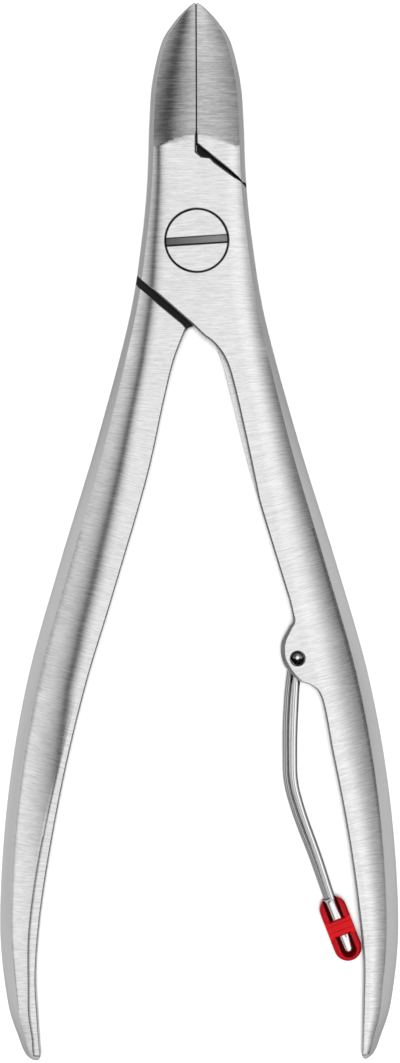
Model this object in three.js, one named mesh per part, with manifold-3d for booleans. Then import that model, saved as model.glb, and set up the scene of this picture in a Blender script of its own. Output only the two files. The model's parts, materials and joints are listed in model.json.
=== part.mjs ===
// Cuticle nipper with a lap joint, a slotted pivot screw and a swing-out wire spring.
//
// The nipper lies on its back. X runs across it, +Y runs from the pivot to the jaw tips and +Z
// runs up out of its front face. The origin is on the pivot axis, level with the back of the
// joint. All lengths are in millimetres.
//
// Each lever is one forging: a jaw on one side, a cheek that crosses over at half thickness, and
// a handle on the other side. The front lever carries the left jaw and the right handle.

import * as THREE from 'three';
import Module from 'manifold-3d';
import { mergeVertices } from 'three/addons/utils/BufferGeometryUtils.js';

// ---------------------------------------------------------------- driving dimensions

const JOINT_THICKNESS = 6.0;
const MID_PLANE = JOINT_THICKNESS / 2;
const LAP_GAP = 0.1; // running gap between the two cheeks
const EDGE_GAP = 0.05; // each cutting edge stands this far off the centre line
const TIP_Y = 22.7;
const HANDLE_END_Y = -77.3;

const SCREW_HEAD_RADIUS = 2.9;
const SCREW_HEAD_TOP = 5.95;
const SCREW_HEAD_BOTTOM = 4.4;
const SCREW_SHANK_RADIUS = 1.7;
const SCREW_SLOT = { width: 0.78, depth: 0.55, turn: THREE.MathUtils.degToRad(3.5) };
const HEAD_RECESS = { radius: 3.02, floor: 4.3 };
const SHANK_HOLE_RADIUS = 1.82;

const PIN_CENTRE = new THREE.Vector2(9.36, -39.4);
const PIN_RADIUS = 0.6;
const PIN_HOLE_RADIUS = 0.7;
const PIN_BOTTOM = 0.8;
const PIN_TOP = 5.1;
const PIN_DOME = 0.25;
const BOSS_SLOT = { radius: 2.25, bottom: 1.7, top: 4.3 };

const WIRE_RADIUS = 0.33;
const EYE_RADIUS = 1.12; // centre line of the wire round the pin
const FRONT_EYE_Z = 3.55;
const REAR_EYE_Z = 2.45;

const GLIDE_CENTRE = new THREE.Vector2(3.98, -25.52); // from the pin
const GLIDE_LEAN = THREE.MathUtils.degToRad(21);
const GLIDE = { length: 6.4, width: 2.6, bottom: 1.55, top: 4.45 };
const GLIDE_CHANNEL = { width: 1.5, bottom: 1.95, top: 4.05, endWall: 0.42 };
const GLIDE_BRIDGE = { from: -0.98, to: 0.77 }; // along the glide from its middle, + towards the tip

const CIRCLE_SEGMENTS = 48;
const EDGE_STEP = 1.5; // spacing of the outline's points along Y
const END_STEP = 0.45; // the same round the ends of the handles
const THROUGH = 1; // how far a cutting tool runs past the face that it opens

// Distance of each edge from the centre line, as [distance, y], from the jaw tip down.
const OUTER_EDGE = [
  [0.2, 22.7], [0.6, 22.42], [1.3, 21.75], [2.08, 20.85], [3.25, 18.96], [4.15, 15.2],
  [4.45, 11.4], [4.67, 5.75], [5.24, 0], [6.46, -7.45], [9.5, -18.8], [12.97, -30.1],
  [16.15, -41.4], [18.07, -52.7], [18.82, -64.1], [18.16, -71.6], [17.1, -75.2], [16.5, -76.7],
  [15.85, -77.3],
];
// The right handle's inner edge, and the left handle's, which is a little fuller.
const RIGHT_INNER_EDGE = [
  [1.06, -8.25], [2.3, -11.2], [3.3, -15], [5.2, -22.55], [8.6, -33.9], [11.0, -41.4],
  [12.75, -49], [14.15, -56.5], [15.1, -63.5], [15.5, -67.8], [15.45, -72], [15.3, -77.3],
];
const LEFT_INNER_EDGE = [
  [1.06, -8.25], [2.2, -11.2], [3.15, -15], [4.85, -22.55], [8.2, -33.9], [10.5, -41.4],
  [12.4, -49], [13.9, -56.5], [15.0, -63.5], [15.45, -69], [15.3, -73], [15.0, -77.3],
];
// The cheek's own edge over the crotch, where it stands a little inside the handle's edge.
const CROTCH_EDGE = [
  [0.66, -8.96], [1.6, -9.7], [2.55, -11.0], [3.3, -13.1], [4.6, -18.8], [5.75, -24.4],
];
// The spring's boss bulges out of the right handle's inner edge, as [x, y].
const BOSS_EDGE = [
  [8.6, -33.9], [8.95, -35.7], [8.55, -36.5], [7.9, -37.8], [7.85, -39.2], [8.42, -40.4],
  [9.4, -41.45], [10.6, -41.95], [11.4, -42.7], [11.9, -44.3], [12.55, -48],
];

// Corners of the lap joint in plan, as [x, y] on the front half.
const CHEEK_TOP = [[4.45, 5.15], [4.18, 5.38], [3.38, 5.97], [0.94, 7.92], [0.35, 8.05], [-EDGE_GAP, 8.4]];
const CHEEK_BOTTOM = [[-5.72, -3.1], [-5.2, -3.68], [-0.47, -7.86]];
const JAW_SHOULDER = [[EDGE_GAP, 9.15], [3.9, 6.1], [4.3, 5.5], [4.62, 5.45]];
const HANDLE_SHOULDER = [[5.78, -3.82], [5.49, -4.43], [1.39, -7.86], [1.06, -8.25]];

// Side view of the assembled nipper, as [y, z]: front face first, then the back.
const FRONT_PROFILE = [
  [22.8, 2.3], [20.5, 3.1], [17, 4.2], [13, 5.25], [9.8, 6.0], [-9, 6.0], [-14, 5.85],
  [-30, 5.7], [-60, 5.5], [-72, 5.25], [-77.4, 4.8],
];
const BACK_PROFILE = [
  [-77.4, 1.2], [-72, 0.75], [-60, 0.5], [-30, 0.3], [-14, 0.15], [-9, 0], [8.5, 0], [12, 0.3],
  [17, 0.8], [22.8, 1.15],
];

// The spring's two legs in plan, from the pin, from the eye down to the hairpin's tip.
const FRONT_LEG = [
  [0.0, -1.1], [-0.2, -3.9], [-0.37, -9.6], [-0.28, -11.7], [0.1, -13.4], [2.04, -19.1],
  [3.23, -22.8], [4.79, -27.0],
];
const REAR_LEG = [
  [-0.55, -0.95], [-0.86, -3.9], [-1.0, -9.5], [-0.92, -11.6], [-0.5, -13.5], [1.56, -19.3],
  [2.84, -22.95], [4.4, -27.15],
];
const HAIRPIN_END_Z = { front: 3.4, rear: 2.6 };
const HAIRPIN_TIP = [4.83, -27.7];

// ---------------------------------------------------------------- finishes

const FINISH = {
  steel: { color: 0xd4d6d8, roughness: 0.38, metalness: 1.0 },
  screw: { color: 0xc6c9cc, roughness: 0.32, metalness: 1.0 },
  wire: { color: 0xdadcde, roughness: 0.18, metalness: 1.0 },
  redPlastic: { color: 0xc4141a, roughness: 0.3, metalness: 0.0 },
};

// ---------------------------------------------------------------- geometry helpers

const wasm = await Module();
wasm.setup();

/** Turns a closed three.js geometry into a solid that can be cut and joined. */
function solid(geometry) {
  const bare = geometry.clone();
  bare.deleteAttribute('normal');
  bare.deleteAttribute('uv');
  const merged = mergeVertices(bare, 1e-5);
  return new wasm.Manifold(new wasm.Mesh({
    numProp: 3,
    vertProperties: new Float32Array(merged.attributes.position.array),
    triVerts: new Uint32Array(merged.index.array),
  }));
}

/** Turns a solid back into a three.js geometry. */
function toGeometry(body) {
  const mesh = body.getMesh();
  const geometry = new THREE.BufferGeometry();
  geometry.setAttribute('position', new THREE.BufferAttribute(new Float32Array(mesh.vertProperties), 3));
  geometry.setIndex(new THREE.BufferAttribute(new Uint32Array(mesh.triVerts), 1));
  geometry.computeVertexNormals();
  return geometry;
}

/** Makes a plate of the given plan outline between two heights. */
function plate(outline, bottom, top) {
  const shape = new THREE.Shape(outline.map(([x, y]) => new THREE.Vector2(x, y)));
  const geometry = new THREE.ExtrudeGeometry(shape, { depth: top - bottom, bevelEnabled: false });
  return geometry.translate(0, 0, bottom);
}

/** Makes an upright cylinder between two heights. */
function post(radius, bottom, top, x = 0, y = 0) {
  const geometry = new THREE.CylinderGeometry(radius, radius, top - bottom, CIRCLE_SEGMENTS);
  return geometry.rotateX(Math.PI / 2).translate(x, y, (top + bottom) / 2);
}

/** Makes a box between two corners. */
function block([x0, y0, z0], [x1, y1, z1]) {
  const geometry = new THREE.BoxGeometry(x1 - x0, y1 - y0, z1 - z0);
  return geometry.translate((x0 + x1) / 2, (y0 + y1) / 2, (z0 + z1) / 2);
}

/** Runs a smooth curve through hand-placed points. */
function smooth(points, perSpan = 6) {
  const curve = new THREE.SplineCurve(points.map(([x, y]) => new THREE.Vector2(x, y)));
  return curve.getPoints(perSpan * (points.length - 1)).map((p) => [p.x, p.y]);
}

/** Reads an edge's distance from the centre line at a given y. */
function distanceAt(edge, y) {
  const line = smooth(edge, 24);
  const below = line.findIndex(([, lineY]) => lineY <= y);
  if (below <= 0) {
    return line[below < 0 ? line.length - 1 : 0][0];
  }
  const [x0, y0] = line[below - 1];
  const [x1, y1] = line[below];
  return x0 + ((x1 - x0) * (y0 - y)) / (y0 - y1);
}

/** Lists an edge's points between two heights along Y, top first. */
function edgeBetween(edge, top, bottom, step = EDGE_STEP) {
  const count = Math.max(1, Math.round((top - bottom) / step));
  return Array.from({ length: count + 1 }, (_, i) => {
    const y = top + ((bottom - top) * i) / count;
    return [distanceAt(edge, y), y];
  });
}

const mirrored = (points) => points.map(([x, y]) => [-x, y]);
const reversed = (points) => [...points].reverse();

// ---------------------------------------------------------------- levers

/** The outer edge of a jaw from its tip down to a given y, with extra points round the nose. */
function jawEdge(bottom) {
  const nose = [22.7, 22.6, 22.4, 22.1, 21.5, 20.85, 20.0].map((y) => [distanceAt(OUTER_EDGE, y), y]);
  return [...nose, ...edgeBetween(OUTER_EDGE, 18.96, bottom)];
}

/** The outer edge of a handle from a given y down, with extra points round its end. */
function handleOuterEdge(top) {
  const roundFrom = HANDLE_END_Y + 2;
  const end = edgeBetween(OUTER_EDGE, roundFrom - END_STEP, HANDLE_END_Y, END_STEP);
  return [...edgeBetween(OUTER_EDGE, top, roundFrom), ...end];
}

/** Plan of the half with the cheek: left jaw, cheek and right handle in one outline. */
function cheekHalfOutline(innerEdge) {
  const leftSide = mirrored(jawEdge(CHEEK_BOTTOM[0][1] + EDGE_STEP / 3));
  const outerSide = reversed(handleOuterEdge(CHEEK_TOP[0][1] - EDGE_STEP));
  return [[-EDGE_GAP, TIP_Y], ...leftSide, ...CHEEK_BOTTOM, ...innerEdge, ...outerSide, ...CHEEK_TOP];
}

/** Plan of a jaw on the half without the cheek, on the left. */
function jawOutline() {
  const outside = jawEdge(JAW_SHOULDER.at(-1)[1] + EDGE_STEP / 2);
  return mirrored([[EDGE_GAP, TIP_Y], ...outside, ...reversed(JAW_SHOULDER)]);
}

/** Plan of a handle on the half without the cheek, on the right. */
function handleOutline(innerEdge) {
  const outerSide = reversed(handleOuterEdge(HANDLE_SHOULDER[0][1] - EDGE_STEP));
  return [...HANDLE_SHOULDER, ...innerEdge, ...outerSide];
}

/** A handle's inner edge from a given y down, with the spring's boss on it or without. */
function handleInnerEdge(edge, top, withBoss) {
  if (!withBoss) {
    return edgeBetween(edge, top, HANDLE_END_Y);
  }
  const above = edgeBetween(edge, top, BOSS_EDGE[0][1] + EDGE_STEP);
  const below = edgeBetween(edge, BOSS_EDGE.at(-1)[1] - 2 * EDGE_STEP, HANDLE_END_Y);
  return [...above, ...smooth(BOSS_EDGE, 4), ...below];
}

/** The forging before its faces are ground: full thickness, with the cheek on the front half. */
function leverBlank(innerEdge, withBoss) {
  const halfTop = MID_PLANE + LAP_GAP / 2;
  const crotch = smooth(CROTCH_EDGE, 3);
  const belowCrotch = CROTCH_EDGE.at(-1)[1] - EDGE_STEP;
  const frontInner = [...crotch, ...handleInnerEdge(innerEdge, belowCrotch, withBoss)];
  const rearInner = handleInnerEdge(innerEdge, innerEdge[0][1] - EDGE_STEP / 2, withBoss);
  const front = solid(plate(cheekHalfOutline(frontInner), halfTop, JOINT_THICKNESS));
  const rearJaw = solid(plate(reversed(jawOutline()), 0, halfTop));
  const rearHandle = solid(plate(handleOutline(rearInner), 0, halfTop));
  return front.add(rearJaw).add(rearHandle);
}

/** The space between the ground front and back faces, as seen from the side. */
function sideProfile() {
  const halfSpan = 25; // wider than the handles
  const geometry = plate(reversed([...FRONT_PROFILE, ...BACK_PROFILE]), -halfSpan, halfSpan);
  // The outline is drawn with y across and z up, then stood on its edge so that it runs along X.
  const stand = new THREE.Matrix4().set(0, 0, 1, 0, 1, 0, 0, 0, 0, 1, 0, 0, 0, 0, 0, 1);
  return solid(geometry.applyMatrix4(stand));
}

/** Front lever: the left jaw, the front cheek with the screw's recess, and the right handle. */
function frontLever() {
  return toGeometry(
    leverBlank(RIGHT_INNER_EDGE, true)
      .intersect(sideProfile())
      .subtract(solid(post(HEAD_RECESS.radius, HEAD_RECESS.floor, JOINT_THICKNESS + THROUGH)))
      .subtract(solid(post(SHANK_HOLE_RADIUS, -THROUGH, JOINT_THICKNESS)))
      .subtract(solid(post(BOSS_SLOT.radius, BOSS_SLOT.bottom, BOSS_SLOT.top, PIN_CENTRE.x, PIN_CENTRE.y)))
      .subtract(solid(post(PIN_HOLE_RADIUS, -THROUGH, JOINT_THICKNESS + THROUGH, PIN_CENTRE.x, PIN_CENTRE.y))),
  );
}

/** Rear lever: the same kind of forging turned over about Y, with the screw's threaded hole. */
function rearLever() {
  const turned = toGeometry(leverBlank(LEFT_INNER_EDGE, false)).rotateY(Math.PI).translate(0, 0, JOINT_THICKNESS);
  return toGeometry(
    solid(turned)
      .intersect(sideProfile())
      .subtract(solid(post(SHANK_HOLE_RADIUS, -THROUGH, JOINT_THICKNESS + THROUGH))),
  );
}

// ---------------------------------------------------------------- fittings

/** Slotted screw: head sunk in the front cheek, shank through to the back of the rear cheek. */
function pivotScrew() {
  const profile = [
    [0, 0], [SCREW_SHANK_RADIUS - 0.2, 0], [SCREW_SHANK_RADIUS, 0.2],
    [SCREW_SHANK_RADIUS, SCREW_HEAD_BOTTOM], [SCREW_HEAD_RADIUS, SCREW_HEAD_BOTTOM],
    [SCREW_HEAD_RADIUS, SCREW_HEAD_TOP - 0.12], [SCREW_HEAD_RADIUS - 0.12, SCREW_HEAD_TOP],
    [0, SCREW_HEAD_TOP],
  ];
  const turned = new THREE.LatheGeometry(profile.map(([r, z]) => new THREE.Vector2(r, z)), CIRCLE_SEGMENTS);
  const { width, depth, turn } = SCREW_SLOT;
  const reach = SCREW_HEAD_RADIUS + THROUGH;
  const slot = block(
    [-reach, -width / 2, SCREW_HEAD_TOP - depth],
    [reach, width / 2, SCREW_HEAD_TOP + THROUGH],
  );
  return toGeometry(solid(turned.rotateX(Math.PI / 2)).subtract(solid(slot.rotateZ(turn))));
}

/** Pin pressed through the boss, with a low dome on each end. */
function springPin() {
  const profile = [
    [0, PIN_BOTTOM - PIN_DOME], [PIN_RADIUS * 0.6, PIN_BOTTOM - PIN_DOME * 0.7], [PIN_RADIUS, PIN_BOTTOM],
    [PIN_RADIUS, PIN_TOP], [PIN_RADIUS * 0.6, PIN_TOP + PIN_DOME * 0.7], [0, PIN_TOP + PIN_DOME],
  ];
  const points = profile.map(([r, z]) => new THREE.Vector2(r, z));
  return new THREE.LatheGeometry(points, 24).rotateX(Math.PI / 2);
}

/** One closed wire eye round the pin. */
function wireEye(z) {
  return new THREE.TorusGeometry(EYE_RADIUS, WIRE_RADIUS, 8, 24).translate(0, 0, z);
}

/** Hairpin spring: an eye and a leg in front, an eye and a leg behind, joined at the tip. */
function wireSpring() {
  const slope = (index, last, from, to) => from + ((to - from) * index) / last;
  const front = FRONT_LEG.map(([x, y], i) => (
    new THREE.Vector3(x, y, slope(i, FRONT_LEG.length - 1, FRONT_EYE_Z, HAIRPIN_END_Z.front))));
  const rear = REAR_LEG.map(([x, y], i) => (
    new THREE.Vector3(x, y, slope(i, REAR_LEG.length - 1, REAR_EYE_Z, HAIRPIN_END_Z.rear))));
  const tip = new THREE.Vector3(...HAIRPIN_TIP, MID_PLANE);
  const path = new THREE.CatmullRomCurve3([...front, tip, ...rear.reverse()], false, 'centripetal');
  const section = new THREE.Shape().absarc(0, 0, WIRE_RADIUS, 0, 2 * Math.PI, false);
  const options = { steps: 90, extrudePath: path, curveSegments: 5, bevelEnabled: false };
  const hairpin = new THREE.ExtrudeGeometry(section, options);
  return toGeometry(solid(hairpin).add(solid(wireEye(FRONT_EYE_Z))).add(solid(wireEye(REAR_EYE_Z))));
}

/** Plan of a strip along the glide, round at its lower end and either round or square above. */
function glideStrip(halfWidth, low, high, roundTop) {
  const strip = new THREE.Shape().absarc(0, low + halfWidth, halfWidth, Math.PI, 2 * Math.PI, false);
  if (roundTop) {
    return strip.absarc(0, high - halfWidth, halfWidth, 0, Math.PI, false);
  }
  return strip.lineTo(halfWidth, high).lineTo(-halfWidth, high);
}

/** Plastic glide: a round-ended clip with a channel for the wire and two windows in front. */
function springGlide() {
  const { length, width, bottom, top } = GLIDE;
  const half = GLIDE_CHANNEL.width / 2;
  const lowEnd = -length / 2 + GLIDE_CHANNEL.endWall;
  const above = top + THROUGH;
  const raise = (strip, low, high) => {
    const options = { depth: high - low, bevelEnabled: false, curveSegments: 12 };
    return solid(new THREE.ExtrudeGeometry(strip, options).translate(0, 0, low));
  };
  const body = raise(glideStrip(width / 2, -length / 2, length / 2, true), bottom, top);
  const channel = raise(glideStrip(half, lowEnd, length, false), GLIDE_CHANNEL.bottom, GLIDE_CHANNEL.top);
  const lowerWindow = raise(glideStrip(half, lowEnd, -GLIDE_BRIDGE.to, false), MID_PLANE, above);
  const upperWindow = solid(block([-half, -GLIDE_BRIDGE.from, MID_PLANE], [half, length, above]));
  return toGeometry(
    body.subtract(channel).subtract(lowerWindow).subtract(upperWindow),
  ).rotateZ(GLIDE_LEAN);
}

// ---------------------------------------------------------------- assembly

/** Makes one named piece. */
function piece(name, geometry, finish) {
  const mesh = new THREE.Mesh(geometry, new THREE.MeshStandardMaterial(finish));
  mesh.name = name;
  return mesh;
}

const nipper = new THREE.Group();
nipper.add(piece('front_lever', frontLever(), FINISH.steel));
nipper.add(piece('rear_lever', rearLever(), FINISH.steel));
nipper.add(piece('pivot_screw', pivotScrew(), FINISH.screw));

const springGroup = new THREE.Group();
springGroup.position.set(PIN_CENTRE.x, PIN_CENTRE.y, 0);
springGroup.add(piece('spring_pin', springPin(), FINISH.wire));
springGroup.add(piece('wire_spring', wireSpring(), FINISH.wire));

const glide = piece('spring_glide', springGlide(), FINISH.redPlastic);
glide.position.set(GLIDE_CENTRE.x, GLIDE_CENTRE.y, 0);
springGroup.add(glide);
nipper.add(springGroup);

export default nipper;
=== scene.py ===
"""Looks of a cuticle nipper: two ground steel levers, a slotted screw and a wire spring.

Lengths are in millimetres and turn to metres where a mesh is made. X runs across the nipper,
+Y runs from the pivot to the jaw tips and +Z runs out of its front face.
"""

import json
import logging
import math
from collections.abc import Callable, Iterable, Sequence
from dataclasses import dataclass
from enum import Enum
from typing import Any

import bmesh
import bpy
import numpy as np
from mathutils import Matrix, Vector


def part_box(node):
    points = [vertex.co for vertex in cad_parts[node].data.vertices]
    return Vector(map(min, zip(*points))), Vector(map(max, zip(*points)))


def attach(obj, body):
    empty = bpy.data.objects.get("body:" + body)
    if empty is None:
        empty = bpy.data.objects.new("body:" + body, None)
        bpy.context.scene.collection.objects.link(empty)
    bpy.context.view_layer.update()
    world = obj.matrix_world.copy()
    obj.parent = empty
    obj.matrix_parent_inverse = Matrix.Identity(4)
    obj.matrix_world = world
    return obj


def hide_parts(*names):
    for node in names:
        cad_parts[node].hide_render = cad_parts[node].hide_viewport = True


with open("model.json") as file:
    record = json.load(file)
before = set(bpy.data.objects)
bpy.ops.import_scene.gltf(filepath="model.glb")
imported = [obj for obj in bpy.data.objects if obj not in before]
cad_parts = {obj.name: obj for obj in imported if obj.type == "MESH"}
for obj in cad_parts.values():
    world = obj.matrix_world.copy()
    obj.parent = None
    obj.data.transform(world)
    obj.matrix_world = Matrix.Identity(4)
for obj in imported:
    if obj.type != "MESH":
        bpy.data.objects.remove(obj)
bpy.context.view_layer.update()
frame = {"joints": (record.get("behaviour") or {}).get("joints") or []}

LOG = logging.getLogger("nipper")
MM = 0.001
WELD = 1e-8  # points closer than this, in metres, are one point
SLIVER = 1e-7  # edges shorter than this, in metres, are closed up
SHARPEST = 0.35  # keeps an outline's sharp corners from running away when it is moved in
Point2 = tuple[float, float]
Point3 = tuple[float, float, float]
HeightRule = Callable[[float], float]


# ---------------------------------------------------------------- measures from the frame


def joint_place(name: str) -> Vector:
    """Returns a joint's place in the model's frame, in millimetres."""
    joint = next(j for j in frame["joints"] if j["name"] == name)
    return Vector(joint["pos_m"]) / MM


LEVER_LOW, LEVER_HIGH = (Vector(corner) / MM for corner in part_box("front_lever"))
PIVOT = joint_place("handle_pivot")
PIN = joint_place("spring_swing")
THICKNESS = LEVER_HIGH.z - LEVER_LOW.z
MIDDLE = THICKNESS / 2
TIP_Y = LEVER_HIGH.y
END_Y = LEVER_LOW.y
LAP = 0.05  # half the gap between the two cheeks
EDGE_GAP = 0.05  # how far each cutting edge stands off the centre line


# ---------------------------------------------------------------- curves and meshes


class Face(Enum):
    """The two faces of the nipper."""

    FRONT = "front"
    BACK = "back"


class Cut(Enum):
    """How a tool solid changes a piece."""

    JOIN = "UNION"
    REMOVE = "DIFFERENCE"
    KEEP = "INTERSECT"


def smooth_line(points: Sequence[Point2], per_span: int = 8) -> list[Point2]:
    """Runs a Catmull-Rom curve through points.

    Args:
        points: The points that the curve passes through.
        per_span: How many steps each span gets.

    Returns:
        Points along the curve, both ends included.
    """
    p = np.array([points[0], *points, points[-1]], dtype=float)
    out: list[Point2] = []
    for i in range(1, len(p) - 2):
        a, b, c, d = p[i - 1], p[i], p[i + 1], p[i + 2]
        for step in range(per_span):
            t = step / per_span
            cubic = (-a + 3 * b - 3 * c + d) * t**3
            square = (2 * a - 5 * b + 4 * c - d) * t**2
            out.append(tuple(0.5 * (cubic + square + (c - a) * t + 2 * b)))
    out.append(tuple(p[-1]))
    return out


def rule(points: Sequence[Point2], most: float = math.inf) -> HeightRule:
    """Turns [value, y] points, listed from the tip down, into a function of y.

    Args:
        points: Points as [value, y], y falling.
        most: A value that the function never passes.

    Returns:
        A function that gives the smooth value at any y.
    """
    line = np.array(smooth_line(points, 24))
    values, ys = np.minimum(line[::-1, 0], most), np.maximum.accumulate(line[::-1, 1])
    return lambda y: float(np.interp(y, ys, values))


def make_object(
    name: str, verts: Iterable[Sequence[float]], faces: Iterable[Sequence[int]],
) -> bpy.types.Object:
    """Makes a mesh object from points in millimetres.

    Args:
        name: The new object's name.
        verts: Points in millimetres.
        faces: Vertex indices of each face.

    Returns:
        The new object, linked to the scene.
    """
    mesh = bpy.data.meshes.new(name)
    points = [tuple(float(c) * MM for c in v) for v in verts]
    mesh.from_pydata(points, [], [tuple(f) for f in faces])
    mesh.validate()
    piece = bpy.data.objects.new(name, mesh)
    bpy.context.scene.collection.objects.link(piece)
    return piece


def loop_solid(name: str, loops: Sequence[Sequence[Point3]]) -> bpy.types.Object:
    """Skins a row of closed loops that have the same number of points, and caps both ends.

    Args:
        name: The new object's name.
        loops: The loops, each a list of points in millimetres.

    Returns:
        A closed solid with its faces pointing out.
    """
    count = len(loops[0])
    verts = [point for loop in loops for point in loop]
    faces: list[tuple[int, ...]] = []
    for row in range(len(loops) - 1):
        for k in range(count):
            a, b = row * count + k, row * count + (k + 1) % count
            faces.append((a, b, b + count, a + count))
    faces.append(tuple(reversed(range(count))))
    faces.append(tuple(range((len(loops) - 1) * count, len(loops) * count)))
    solid = make_object(name, verts, faces)
    face_outwards(solid)
    return solid


def face_outwards(piece: bpy.types.Object) -> None:
    """Merges doubled points and turns every face of a piece outwards."""
    bm = bmesh.new()
    bm.from_mesh(piece.data)
    bmesh.ops.remove_doubles(bm, verts=bm.verts, dist=WELD)
    bmesh.ops.recalc_face_normals(bm, faces=bm.faces)
    bm.to_mesh(piece.data)
    bm.free()


def apply_modifiers(piece: bpy.types.Object) -> None:
    """Replaces a piece's mesh with what its modifiers give, and removes them."""
    evaluated = piece.evaluated_get(bpy.context.evaluated_depsgraph_get())
    mesh = bpy.data.meshes.new_from_object(evaluated)
    piece.modifiers.clear()
    piece.data = mesh


def cut(piece: bpy.types.Object, tool: bpy.types.Object, how: Cut) -> None:
    """Cuts or joins a piece with a tool solid, and deletes the tool.

    Args:
        piece: The solid to change.
        tool: The solid to change it with.
        how: Whether to join, remove or keep what they share.
    """
    modifier = piece.modifiers.new("cut", "BOOLEAN")
    modifier.operation = how.value
    modifier.solver = "EXACT"
    modifier.object = tool
    apply_modifiers(piece)
    bpy.data.objects.remove(tool, do_unlink=True)


def round_tool(
    name: str, rings: Sequence[Point2], centre: Point2, segments: int = 96,
) -> bpy.types.Object:
    """Turns a profile about an upright axis.

    Args:
        name: The new object's name.
        rings: The profile as [radius, height], from the bottom up.
        centre: Where the axis stands in plan.
        segments: How many sides the turned shape has.

    Returns:
        A closed turned solid.
    """
    x, y = centre
    angles = [2 * math.pi * k / segments for k in range(segments)]
    return loop_solid(name, [
        [(x + radius * math.cos(a), y + radius * math.sin(a), height) for a in angles]
        for radius, height in rings
    ])


def inset(outline: Sequence[Point2], by: float | np.ndarray) -> list[Point2]:
    """Moves an anticlockwise outline inwards.

    Args:
        outline: The closed outline.
        by: How far it moves in, for all of it or for each point.

    Returns:
        The moved outline, with as many points.
    """
    p = np.array(outline)
    before = p - np.roll(p, 1, axis=0)
    after = np.roll(p, -1, axis=0) - p
    before /= np.linalg.norm(before, axis=1, keepdims=True)
    after /= np.linalg.norm(after, axis=1, keepdims=True)
    normal = np.stack([-(before + after)[:, 1], (before + after)[:, 0]], axis=1)
    normal /= np.linalg.norm(normal, axis=1, keepdims=True)
    side = np.stack([-after[:, 1], after[:, 0]], axis=1)
    stretch = np.clip((normal * side).sum(axis=1), SHARPEST, 1.0)
    return [tuple(q) for q in p + normal * (by / stretch)[:, None]]


def finish_mesh(piece: bpy.types.Object, crease: float) -> None:
    """Shades a piece smooth, but for edges sharper than an angle in degrees."""
    bm = bmesh.new()
    bm.from_mesh(piece.data)
    bmesh.ops.remove_doubles(bm, verts=bm.verts, dist=2 * SLIVER)
    bmesh.ops.dissolve_degenerate(bm, edges=bm.edges, dist=SLIVER)
    bmesh.ops.triangulate(bm, faces=[f for f in bm.faces if len(f.verts) > 4])
    bm.to_mesh(piece.data)
    bm.free()
    piece.data.shade_smooth()
    piece.data.set_sharp_from_angle(angle=math.radians(crease))


def place(
    piece: bpy.types.Object, body: str, node: str, material: bpy.types.Material,
) -> None:
    """Dresses a finished piece and hands it to the frame.

    Args:
        piece: The finished piece.
        body: The body that it rides on.
        node: The CAD node that it stands for.
        material: Its material.
    """
    piece.data.materials.clear()
    piece.data.materials.append(material)
    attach(piece, body)
    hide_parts(node)
    LOG.info("%s: %d faces on %s", piece.name, len(piece.data.polygons), body)


# ---------------------------------------------------------------- shader nodes


class Value:
    """A number socket in a shader tree, for writing maths as Python expressions."""

    def __init__(self, tree: bpy.types.NodeTree, socket: Any) -> None:
        """Wraps an output socket of a node in a tree."""
        self.tree = tree
        self.socket = socket

    def _math(self, operation: str, *operands: "Value | float", clamp: bool = False) -> "Value":
        """Adds one Math node.

        Args:
            operation: The node's operation.
            operands: Its inputs, in order.
            clamp: Whether the result is kept from 0 to 1.

        Returns:
            The node's result.
        """
        node = self.tree.nodes.new("ShaderNodeMath")
        node.operation = operation
        node.use_clamp = clamp
        for socket, operand in zip(node.inputs, operands):
            if isinstance(operand, Value):
                self.tree.links.new(operand.socket, socket)
            else:
                socket.default_value = operand
        return Value(self.tree, node.outputs[0])

    def __add__(self, other: "Value | float") -> "Value":
        """Adds."""
        return self._math("ADD", self, other)

    __radd__ = __add__

    def __mul__(self, other: "Value | float") -> "Value":
        """Multiplies."""
        return self._math("MULTIPLY", self, other)

    __rmul__ = __mul__

    def __sub__(self, other: "Value | float") -> "Value":
        """Subtracts."""
        return self._math("SUBTRACT", self, other)

    def __rsub__(self, other: "Value | float") -> "Value":
        """Subtracts from a number."""
        return self._math("SUBTRACT", other, self)

    def __pow__(self, other: "Value | float") -> "Value":
        """Raises to a power."""
        return self._math("POWER", self, other)

    def clamped(self) -> "Value":
        """Keeps the value from 0 to 1."""
        return self._math("ADD", self, 0.0, clamp=True)

    def size(self) -> "Value":
        """Drops the sign."""
        return self._math("ABSOLUTE", self)

    def angle_over(self, other: "Value") -> "Value":
        """Gives the angle, in radians, whose tangent is this value over another."""
        return self._math("ARCTAN2", self, other)

    def between(self, low: float, high: float) -> "Value":
        """Rises smoothly from 0 at one value to 1 at another.

        Args:
            low: Where the result is 0.
            high: Where the result is 1.

        Returns:
            The smooth step.
        """
        node = self.tree.nodes.new("ShaderNodeMapRange")
        node.interpolation_type = "SMOOTHSTEP"
        self.tree.links.new(self.socket, node.inputs["Value"])
        node.inputs["From Min"].default_value = low
        node.inputs["From Max"].default_value = high
        return Value(self.tree, node.outputs["Result"])


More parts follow.
